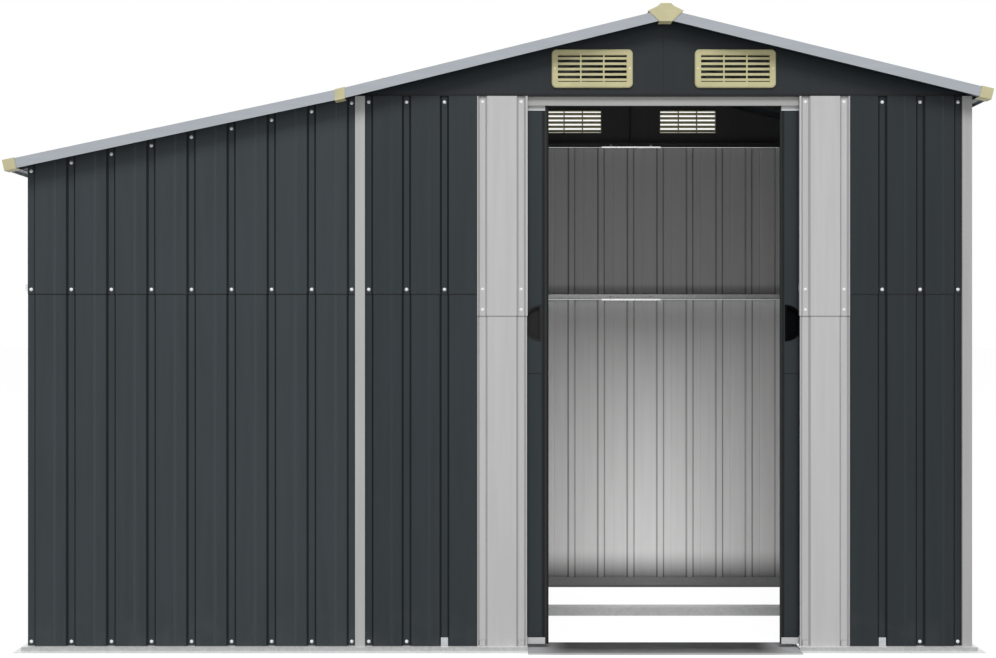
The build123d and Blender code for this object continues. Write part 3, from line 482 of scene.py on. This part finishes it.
# A band is its height from and to, a share of the tone and a polish, and a lip is its height from and to. The bands are
# painted light: a painted highlight along the foot of the base rails and on the rails' lower lips, and painted shade on
# the top rails' web
dress(zincFinish, {
    # painted light: the base rails' upward faces are painted pale and their foot band lighter
    "baseZinc": {"nodes": ("base_front_rails", "base_side_rails"), "tone": (0.455, 0.46, 0.465, 1.0), "topLight": 1.0,
        "lightAndShadeBands": ((-0.001, 0.0016, 1.9, 0.0),)},
    # painted light: the cross bar's upward faces are painted pale
    "barZinc": {"nodes": ("base_cross_bar",), "tone": (0.43, 0.43, 0.435, 1.0), "topLight": 0.85},
    # painted shade: the back base rail is a much darker copy of the zinc
    "backBaseZinc": {"nodes": ("base_back_rail",), "tone": (0.150, 0.150, 0.151, 1.0)},
    # painted highlight: the mid rails' lip band is painted lighter
    "railZinc": {"nodes": ("front_mid_rails", "side_mid_rails", "back_mid_rails"), "tone": (0.80, 0.805, 0.81, 1.0),
        "lightAndShadeBands": ((1.0130, 1.0158, 1.15, 1.0),), "lips": ((1.0140, 1.0155),)},
    # painted shade on the top rails' web band, and a painted highlight on their lip band
    "topRailZinc": {"nodes": ("back_top_rails", "side_top_rails"), "tone": (0.60, 0.605, 0.61, 1.0),
        "lightAndShadeBands": ((1.5499, 1.5700, 0.10, 0.0), (1.5470, 1.5497, 1.40, 1.0)), "lips": ((1.5480, 1.5495),)},
    # the splice plates are strongly metallic, and their near-white tone, lighter than the rails, is a painted highlight
    "spliceZinc": {"nodes": ("rail_splices",), "tone": (0.95, 0.95, 0.955, 1.0), "roughness": 0.26, "metal": 0.90,
        "lips": ((1.0122, 1.0180), (1.5462, 1.5520))},
    "frameZinc": {"nodes": ("lean_to_studs", "lean_to_rafters", "eave_beam", "ridge_beam"),
        "tone": (0.50, 0.505, 0.51, 1.0)},
})

# Moulded plastic: a fine even grain, a little chalky where the weather reaches it
plasticSkin = {
    "drift": 18.0,
    "tones": (0.95, 1.05),
    "upward": (0.1, 0.9),
    "chalkTone": onScreen(214, 212, 200),
    "grain": 1400.0,
    "spread": 0.08,
    "bump": (0.20, 0.0003),
}


def plasticFinish(name, tone, roughness, chalk=0.0, gloss=0.4):
    finish = Finish(name, gloss)
    drift = finish.noise(plasticSkin["drift"], 4.0)
    grain = finish.noise(plasticSkin["grain"], 2.0)
    upward = finish.split(finish.facing, "Z").smooth(*plasticSkin["upward"])
    colour = finish.varied(drift.smooth(0.35, 0.7), tone, plasticSkin["tones"])
    colour = finish.mix(upward * chalk, colour, plasticSkin["chalkTone"])
    finish.shade("Base Color", colour)
    finish.shade("Roughness", finish.spreadOver(grain, roughness, plasticSkin["spread"]))
    finish.bump(grain, *plasticSkin["bump"])
    return finish.material


dress(plasticFinish, {
    "ventPlastic": {"nodes": ("front_vents", "back_vents"), "tone": onScreen(196, 190, 146), "roughness": 0.50,
        "chalk": 0.10},
    "capPlastic": {"nodes": ("ridge_caps", "trim_caps"), "tone": onScreen(197, 191, 151), "roughness": 0.50,
        "chalk": 0.12},
    # painted light and shade: the two pulls are copies of one black plastic, the left painted lighter and the right
    # darker
    "pullGrey": {"nodes": ("door_left_handle",), "tone": (0.011, 0.011, 0.011, 1.0), "roughness": 0.55, "gloss": 0.2},
    "pullBlack": {"nodes": ("door_right_handle",), "tone": (0.0012, 0.0014, 0.0018, 1.0), "roughness": 0.70,
        "gloss": 0.04},
})

# Sill: grey paint, scuffed bare in places, darker at the back and in the middle as painted shade, lighter towards the
# front as painted light, and with painted highlights at both ends and along the nose
sillWearAndLight = {
    "drift": 5.0,
    "tones": (0.85, 1.10),
    # painted light: lighter towards the front, with the back in painted shadow
    "front": (-0.530, -0.470),
    "frontLightTone": 8.0,
    "frontLightShare": 0.88,
    "middle": 0.467,
    # painted highlight at both ends
    "ends": (0.26, 0.365),  # away from the middle
    "endHighlightTone": 18.0,
    "endHighlightShare": 0.92,
    "scuffs": 40.0,
    "scuffGrain": (0.25, 3.0, 1.0),
    "scuffShare": 0.20,
    # painted highlight along the nose
    "nose": (-0.536, -0.534),
    "lip": (0.0016, 0.0024),
    "noseHighlightShare": 0.80,
    "roughness": 0.52,
    "spread": 0.20,
    "bump": (0.2, 0.0008),
    "gloss": 0.25,
}


def sillFinish(name, tone, bare):
    finish = Finish(name, sillWearAndLight["gloss"])
    across = finish.split(finish.place, "X")
    depth = finish.split(finish.place, "Y")
    scuffs = finish.noise(sillWearAndLight["scuffs"], 6.0, finish.stretched(sillWearAndLight["scuffGrain"]))
    drift = finish.noise(sillWearAndLight["drift"], 4.0)
    ends = abs(across - sillWearAndLight["middle"]).smooth(*sillWearAndLight["ends"])
    front = 1 - depth.smooth(*sillWearAndLight["front"])
    nose = 1 - depth.smooth(*sillWearAndLight["nose"])
    lip = finish.split(finish.place, "Z").smooth(*sillWearAndLight["lip"])
    colour = finish.varied(drift.smooth(0.35, 0.7), tone, sillWearAndLight["tones"])
    # painted light: lighter towards the front, with the back in painted shadow
    colour = finish.mix(front * sillWearAndLight["frontLightShare"], colour, scaled(tone, sillWearAndLight["frontLightTone"]))
    # painted highlight at both ends
    colour = finish.mix(ends * sillWearAndLight["endHighlightShare"], colour, scaled(tone, sillWearAndLight["endHighlightTone"]))
    colour = finish.mix(scuffs.smooth(0.50, 0.72) * sillWearAndLight["scuffShare"], colour, bare)
    # painted highlight along the nose, in the bare tone
    colour = finish.mix(nose * lip * sillWearAndLight["noseHighlightShare"], colour, bare)
    finish.shade("Base Color", colour)
    finish.shade("Roughness", finish.spreadOver(scuffs, sillWearAndLight["roughness"], sillWearAndLight["spread"]))
    finish.bump(scuffs, *sillWearAndLight["bump"])
    return finish.material


dress(sillFinish, {
    "sillPaint": {"nodes": ("door_sill",), "tone": (0.030, 0.030, 0.031, 1.0), "bare": onScreen(196, 196, 196)},
})

# Edge seals: dull rubber, with a painted highlight stripe along the rounded nose
sealSkin = {
    "drift": 30.0,
    "tones": (0.85, 1.15),
    "stripeEdge": 0.0007,
    "grain": 900.0,
    "roughness": 0.57,
    "spread": 0.10,
    "bump": (0.25, 0.0003),
    "gloss": 0.20,
}


def sealFinish(name, tone, stripe, paintedHighlight):
    finish = Finish(name, sealSkin["gloss"])
    across = finish.split(finish.place, "X")
    grain = finish.noise(sealSkin["grain"], 2.0)
    colour = finish.varied(finish.noise(sealSkin["drift"], 4.0).smooth(0.35, 0.7), tone, sealSkin["tones"])
    # painted highlight along the nose
    colour = finish.mix(across.between(*stripe, sealSkin["stripeEdge"]), colour, paintedHighlight)
    finish.shade("Base Color", colour)
    finish.shade("Roughness", finish.spreadOver(grain, sealSkin["roughness"], sealSkin["spread"]))
    finish.bump(grain, *sealSkin["bump"])
    return finish.material


dress(sealFinish, {
    "sealLeft": {"nodes": ("door_left_seal",), "tone": (0.0060, 0.0070, 0.0068, 1.0), "stripe": (0.1325, 0.1378),
        "paintedHighlight": (0.0230, 0.0270, 0.0250, 1.0)},
    "sealRight": {"nodes": ("door_right_seal",), "tone": (0.0060, 0.0070, 0.0076, 1.0), "stripe": (0.8000, 0.8042),
        "paintedHighlight": (0.0180, 0.0215, 0.0230, 1.0)},
})
print("nodes left plain:", sorted(set(nodes) - dressed))


# The shed's own surface, to seat fasteners on
def bodySurface(body):
    corners = []
    faces = []
    for name in frame["record"]["behaviour"]["bodies"][body]:
        mesh = nodes[name].data
        start = len(corners)
        corners += [vertex.co.copy() for vertex in mesh.vertices]
        faces += [[start + index for index in face.vertices] for face in mesh.polygons]
    return BVHTree.FromPolygons(corners, faces)


shedSurface = bodySurface("shed")


def seated(spots, reach=0.012):
    found = []
    for place, facing in spots:
        hit = shedSurface.ray_cast(place + facing * reach, -facing, 2 * reach)
        if hit[0] is None:
            print("nothing under a fastener at", [round(value, 3) for value in place])
        else:
            found.append((hit[0], facing))
    return found


# Geometry Nodes: a stack of cones set on every point of a cloud, turned to its own facing
def fastenerTree(name, sides, stack):
    tree = bpy.data.node_groups.new(name, "GeometryNodeTree")
    face = tree.interface
    face.new_socket("Cloud", in_out="INPUT", socket_type="NodeSocketGeometry")
    size = face.new_socket("Size", in_out="INPUT", socket_type="NodeSocketFloat")
    seed = face.new_socket("Seed", in_out="INPUT", socket_type="NodeSocketInt")
    finish = face.new_socket("Finish", in_out="INPUT", socket_type="NodeSocketMaterial")
    face.new_socket("Fasteners", in_out="OUTPUT", socket_type="NodeSocketGeometry")
    board = Board(tree)
    incoming = tree.nodes.new("NodeGroupInput")
    outgoing = tree.nodes.new("NodeGroupOutput")
    join = tree.nodes.new("GeometryNodeJoinGeometry")
    for lowRadius, highRadius, low, high in stack:
        cone = board.node("GeometryNodeMeshCone", None, {"Vertices": sides, "Radius Bottom": lowRadius,
            "Radius Top": highRadius, "Depth": high - low})
        lifted = board.node("GeometryNodeTransform", None, {"Geometry": cone, "Translation": (0.0, 0.0, low)})
        tree.links.new(lifted.socket, join.inputs[0])
    facing = board.node("GeometryNodeInputNamedAttribute", {"data_type": "FLOAT_VECTOR"}, {"Name": "facing"})
    aligned = board.node("FunctionNodeAlignRotationToVector", {"axis": "Z"}, {"Vector": facing})
    random = board.node("FunctionNodeRandomValue", {"data_type": "FLOAT"}, output=1)
    tree.links.new(incoming.outputs["Seed"], random.socket.node.inputs["Seed"])
    spin = board.node("FunctionNodeAxisAngleToRotation", None, {"Axis": (0.0, 0.0, 1.0), "Angle": random * math.tau})
    turned = board.node("FunctionNodeRotateRotation", {"rotation_space": "LOCAL"}, {0: aligned, 1: spin})
    spread = tree.nodes.new("GeometryNodeInstanceOnPoints")
    tree.links.new(incoming.outputs["Cloud"], spread.inputs["Points"])
    tree.links.new(join.outputs[0], spread.inputs["Instance"])
    tree.links.new(turned.socket, spread.inputs["Rotation"])
    tree.links.new(incoming.outputs["Size"], spread.inputs["Scale"])
    real = board.node("GeometryNodeRealizeInstances", None, {0: Wire(board, spread.outputs[0])})
    coated = board.node("GeometryNodeSetMaterial", None, {"Geometry": real})
    tree.links.new(incoming.outputs["Finish"], coated.socket.node.inputs["Material"])
    tree.links.new(coated.socket, outgoing.inputs[0])
    return tree, {"size": size.identifier, "seed": seed.identifier, "finish": finish.identifier}


def scatter(name, treeAndSockets, spots, material, body, seed=7, size=1.0):
    tree, sockets = treeAndSockets
    cloud = bpy.data.meshes.new(name)
    cloud.from_pydata([place for place, facing in spots], [], [])
    turn = cloud.attributes.new("facing", "FLOAT_VECTOR", "POINT")
    for index, (place, facing) in enumerate(spots):
        turn.data[index].vector = facing
    piece = bpy.data.objects.new(name, cloud)
    scene.collection.objects.link(piece)
    modifier = piece.modifiers.new("fasteners", "NODES")
    modifier.node_group = tree
    modifier[sockets["size"]] = size
    modifier[sockets["seed"]] = seed
    modifier[sockets["finish"]] = material
    bpy.context.view_layer.update()
    solid = bpy.data.meshes.new_from_object(piece.evaluated_get(bpy.context.evaluated_depsgraph_get()))
    piece.modifiers.clear()
    piece.data = solid
    solid.name = name
    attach(piece, body)
    print(name + ":", len(spots), "set,", len(solid.polygons), "faces")


# Where the sheet screws stand: in the grooves, in rows at the rails behind the sheets
screwRows = {
    "top": 1.549,
    "backTop": 1.557,
    "mid": 1.0196,
    "foot": 0.025,
    "jambSeam": 0.962,
    "grooveDepth": 0.007,
    "edgeGroove": 0.010,
    "frontPitch": 0.107,
    "jambGroove": 0.015,
    "jambFarGroove": 0.018,
    "leanToTopDrop": 0.0155,
    "leanToCount": 9,
    "backCount": 17,
    "sideCount": 10,
    "size": 0.91,
}
spots = []


def columns(low, high, count):
    edge = screwRows["edgeGroove"]
    step = (high - low - 2 * edge) / (count - 1)
    return [low + edge + step * index for index in range(count)]


wallLow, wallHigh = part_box("front_wall_left")
leftColumns = [wallLow.x + screwRows["edgeGroove"] + screwRows["frontPitch"] * index for index in range(3)]
floorOfGroove = wallLow.y + screwRows["grooveDepth"]
wallLow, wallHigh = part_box("front_wall_right")
rightColumns = [wallHigh.x - screwRows["edgeGroove"] - screwRows["frontPitch"] * index for index in (2, 1, 0)]
clipColumns = [leftColumns[2], rightColumns[0]]
for column in leftColumns + rightColumns:
    for row in (screwRows["top"], screwRows["mid"]):
        spots.append((Vector((column, floorOfGroove, row)), toFront))
    if column not in clipColumns:
        spots.append((Vector((column, floorOfGroove, screwRows["foot"])), toFront))
jambColumns = []
for name, outer in (("jamb_panel_left", -1), ("jamb_panel_right", 1)):
    panelLow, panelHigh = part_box(name)
    near, far = (panelLow.x, panelHigh.x) if outer < 0 else (panelHigh.x, panelLow.x)
    for column in (near - outer * screwRows["jambGroove"], far + outer * screwRows["jambFarGroove"]):
        jambColumns.append(column)
        for row in (screwRows["top"], screwRows["mid"], screwRows["jambSeam"]):
            spots.append((Vector((column, floorOfGroove, row)), toFront))

# The roof's lines, as the solids have them
gableLow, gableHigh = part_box("front_gable")
ridgeLine = (gableLow.x + gableHigh.x) / 2
roofShape = {
    "mainPitch": 13.77,
    "leanToPitch": 12.0,
    "ridgeHeight": 1.7785,
    "jointHeight": 1.5560,
    "jointLine": -0.440,
    "mainEnd": -0.428,
    "endInset": 0.013,
}

# Lean-to: its top row follows the slope
leanLow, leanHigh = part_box("front_wall_lean_to")
leanSlope = math.tan(math.radians(roofShape["leanToPitch"]))
for facing in (toFront, toBack):
    for column in columns(leanLow.x, leanHigh.x, screwRows["leanToCount"]):
        top = leanHigh.z - leanSlope * (leanHigh.x - column) - screwRows["leanToTopDrop"]
        for row in (top, screwRows["mid"], screwRows["foot"]):
            spots.append((Vector((column, facing.y * abs(floorOfGroove), row)), facing))

# Back, right and divider walls
backLow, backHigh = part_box("back_wall_main")
for column in columns(backLow.x, backHigh.x, screwRows["backCount"]):
    for row in (screwRows["backTop"], screwRows["mid"], screwRows["foot"]):
        spots.append((Vector((column, backHigh.y - screwRows["grooveDepth"], row)), toBack))
for name, facing in (("right_wall", toRight), ("divider_wall", toLeft)):
    sideLow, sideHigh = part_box(name)
    across = (sideHigh.x if facing.x > 0 else sideLow.x) - facing.x * screwRows["grooveDepth"]
    for column in columns(sideLow.y, sideHigh.y, screwRows["sideCount"]):
        for row in (screwRows["backTop"], screwRows["mid"], screwRows["foot"]):
            spots.append((Vector((across, column, row)), facing))

# Roof: screws on the crowns of the ribs, along the covers and on top of the front and back trims
roofScrews = {
    "ribPitch": 0.12,
    "ribHeight": 0.0115,
    "ribsEachSide": 4,
    "rows": (0.14, 0.50, 0.86),  # shares of the slope
    "coverHeight": 0.0135,
    "ridgeCoverReach": 0.055,
    "jointCoverReach": 0.034,
    "trimHeight": 0.019,
    "trimInset": 0.0095,
    "trimPitch": 0.25,
}
ridge = Vector((ridgeLine, 0, roofShape["ridgeHeight"]))
joint = Vector((roofShape["jointLine"], 0, roofShape["jointHeight"]))
slopes = (
    (ridge, 1, roofShape["mainPitch"], cadHigh.x - roofShape["endInset"], roofScrews["ridgeCoverReach"]),
    (ridge, -1, roofShape["mainPitch"], roofShape["mainEnd"], roofScrews["ridgeCoverReach"]),
    (joint, -1, roofShape["leanToPitch"], cadLow.x + roofShape["endInset"], roofScrews["jointCoverReach"]),
)
for start, side, pitch, endX, coverReach in slopes:
    angle = math.radians(pitch)
    along = Vector((side * math.cos(angle), 0, -math.sin(angle)))
    square = Vector((side * math.sin(angle), 0, math.cos(angle)))
    length = abs(endX - start.x) / math.cos(angle)
    for rib in range(-roofScrews["ribsEachSide"], roofScrews["ribsEachSide"] + 1):
        across = Vector((0, rib * roofScrews["ribPitch"], 0))
        for share in roofScrews["rows"]:
            spots.append((start + along * length * share + across + square * roofScrews["ribHeight"], square))
        spots.append((start + along * coverReach + across + square * roofScrews["coverHeight"], square))
    count = round(length / roofScrews["trimPitch"])
    for index in range(count):
        for end in (-1, 1):
            across = Vector((0, end * (cadHigh.y - roofScrews["trimInset"]), 0))
            reach = length * (index + 0.5) / count
            spots.append((start + along * reach + across + square * roofScrews["trimHeight"], square))
spots = seated(spots)

# A fastener is a number of sides and a stack of cones: low radius, high radius, low height, high height
fastenerShapes = {
    "washers": (14, ((0.0054, 0.0054, -0.0003, 0.0006), (0.0054, 0.0044, 0.0006, 0.0012))),
    "heads": (12, ((0.0037, 0.0037, 0.0010, 0.0020), (0.0037, 0.0026, 0.0020, 0.0030),
        (0.0026, 0.0009, 0.0030, 0.0034))),
    "bolts": (12, ((0.0052, 0.0052, -0.0003, 0.0012), (0.0052, 0.0030, 0.0012, 0.0030))),
}
trees = {name: fastenerTree(name, sides, stack) for name, (sides, stack) in fastenerShapes.items()}
washerPlastic = plasticFinish("washerPlastic", onScreen(244, 247, 248), roughness=0.45)
screwZinc = zincFinish("screwZinc", (0.86, 0.88, 0.89, 1.0), roughness=0.34, metal=0.3, cells=900.0)
scatter("screw_washers", trees["washers"], spots, washerPlastic, "shed", size=screwRows["size"])
scatter("screw_heads", trees["heads"], spots, screwZinc, "shed", size=screwRows["size"])

# Vents: one small cream screw in the middle of each end of the frame
ventScrews = {"fromRidge": 0.2015, "fromMiddle": 0.1055, "height": 1.6415, "size": 0.50}
ventSpots = []
for name, facing in (("front_vents", toFront), ("back_vents", toBack)):
    ventLow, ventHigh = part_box(name)
    across = ventLow.y if facing.y < 0 else ventHigh.y
    for side in (-1, 1):
        for end in (-1, 1):
            column = ridgeLine + side * ventScrews["fromRidge"] + end * ventScrews["fromMiddle"]
            ventSpots.append((Vector((column, across, ventScrews["height"])), facing))
ventSpots = seated(ventSpots)
ventCream = plasticFinish("ventCream", onScreen(232, 228, 200), roughness=0.45)
scatter("vent_screws", trees["washers"], ventSpots, ventCream, "shed", size=ventScrews["size"])

# Bolts on the rails inside, where the two lengths of each rail are spliced
spliceBolts = {"spread": 0.0705, "midHeight": 1.0226, "topHeight": 1.556, "inset": 0.004, "reach": 0.03}
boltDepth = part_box("rail_splices")[1].y - spliceBolts["inset"]
bolts = []
for row in (spliceBolts["midHeight"], spliceBolts["topHeight"]):
    for side in (-1, 1):
        bolts.append((Vector((ridgeLine + side * spliceBolts["spread"], boltDepth, row)), toFront))
scatter("rail_bolts", trees["bolts"], seated(bolts, spliceBolts["reach"]), screwZinc, "shed")

# Clips at the foot of the front: bare ones in place of one screw on each side, painted ones on the jambs
clipSizes = {
    "bare": (0.0200, 0.0235),
    "painted": (0.0160, 0.0150),
    "bottom": 0.0135,
    "front": 0.0016,  # before and behind the floor of the groove
    "back": 0.0020,
    "edge": 0.0004,
    "tabInset": 0.003,
    "tabFront": 0.0012,
    "tabBack": 0.0005,
    "tabDrop": 0.55,
}


def plate(sheet, low, high):
    made = bmesh.ops.create_cube(sheet, size=1.0)
    middle = (low + high) / 2
    for vertex in made["verts"]:
        vertex.co = Vector(middle[axis] + vertex.co[axis] * (high[axis] - low[axis]) for axis in range(3))
    edges = list({joined for vertex in made["verts"] for joined in vertex.link_edges})
    bmesh.ops.bevel(sheet, geom=edges, offset=clipSizes["edge"], segments=2, affect="EDGES")


def footClips(name, clipPlaces, size, material):
    width, height = size
    inset = clipSizes["tabInset"]
    clip = bmesh.new()
    for column in clipPlaces:
        low = Vector((column - width / 2, floorOfGroove - clipSizes["front"], clipSizes["bottom"]))
        high = Vector((column + width / 2, floorOfGroove + clipSizes["back"], clipSizes["bottom"] + height))
        plate(clip, low, high)
        tabLow = low + Vector((inset, -clipSizes["tabFront"], inset))
        tabHigh = high - Vector((inset, clipSizes["tabBack"], height * clipSizes["tabDrop"]))
        plate(clip, tabLow, tabHigh)
    mesh = bpy.data.meshes.new(name)
    clip.to_mesh(mesh)
    clip.free()
    mesh.materials.append(material)
    clips = bpy.data.objects.new(name, mesh)
    scene.collection.objects.link(clips)
    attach(clips, "shed")
    print(name + ":", len(clipPlaces), "set")


clipZinc = zincFinish("clipZinc", (0.56, 0.58, 0.59, 1.0), roughness=0.40, metal=0.3, cells=260.0)
footClips("foot_clips", clipColumns, clipSizes["bare"], clipZinc)
footClips("jamb_clips", jambColumns, clipSizes["painted"], finishes["jambPaint"])

# Studio: a pale floor, one broad soft lamp before and above the doors, and an even pale room
studio = {
    "floorSize": 400.0,
    "floorDrop": 0.0005,
    "floorTone": 0.94,
    "floorWhite": 0.90,
    "floorGlow": 1.06,
    "lampPlace": (-1.0, -23.0, 22.5),
    "lampAim": (0.0, -0.4, 1.0),
    "lampWidth": 16.0,
    "lampHeight": 12.0,
    "lampPower": 5950.0,
    "room": 0.33,
}
half, down = studio["floorSize"] / 2, -studio["floorDrop"]
floorMesh = bpy.data.meshes.new("floor")
floorCorners = [(-half, -half, down), (half, -half, down), (half, half, down), (-half, half, down)]
floorMesh.from_pydata(floorCorners, [], [(0, 1, 2, 3)])
floor = bpy.data.objects.new("floor", floorMesh)
scene.collection.objects.link(floor)
floorMaterial = bpy.data.materials.new("studioFloor")
floorMaterial.use_nodes = True
floorMesh.materials.append(floorMaterial)


def seen(board):  # 1 for what the camera sees, itself or in a reflection, and 0 for what lights the shed
    path = board.tree.nodes.new("ShaderNodeLightPath")
    camera, glossy, clear = (Wire(board, path.outputs["Is " + kind + " Ray"])
        for kind in ("Camera", "Glossy", "Transmission"))
    return (camera + glossy + clear).clamped()


board = Board(floorMaterial.node_tree)
matt = board.node("ShaderNodeBsdfDiffuse", None, {"Color": (studio["floorTone"],) * 3 + (1.0,)})
white = board.node("ShaderNodeEmission", None, {"Color": (1.0, 1.0, 1.0, 1.0), "Strength": studio["floorGlow"]})
mixed = board.node("ShaderNodeMixShader", None, {0: seen(board) * studio["floorWhite"], 1: matt, 2: white})
output = board.tree.nodes.new("ShaderNodeOutputMaterial")
board.tree.links.new(mixed.socket, output.inputs[0])

world = bpy.data.worlds.new("room")
scene.world = world
world.use_nodes = True
board = Board(world.node_tree)
level = seen(board) * (1.0 - studio["room"]) + studio["room"]
sky = board.node("ShaderNodeBackground", None, {"Color": (1.0, 1.0, 1.0, 1.0), "Strength": level})
output = board.tree.nodes.new("ShaderNodeOutputWorld")
board.tree.links.new(sky.socket, output.inputs[0])

lampData = bpy.data.lights.new("softbox", "AREA")
lampData.shape = "RECTANGLE"
lampData.size = studio["lampWidth"]
lampData.size_y = studio["lampHeight"]
lampData.energy = studio["lampPower"]
lamp = bpy.data.objects.new("softbox", lampData)
lamp.location = studio["lampPlace"]
lamp.rotation_euler = (Vector(studio["lampAim"]) - Vector(studio["lampPlace"])).to_track_quat("-Z", "Y").to_euler()
lamp.visible_camera = False
scene.collection.objects.link(lamp)
print("studio lit")
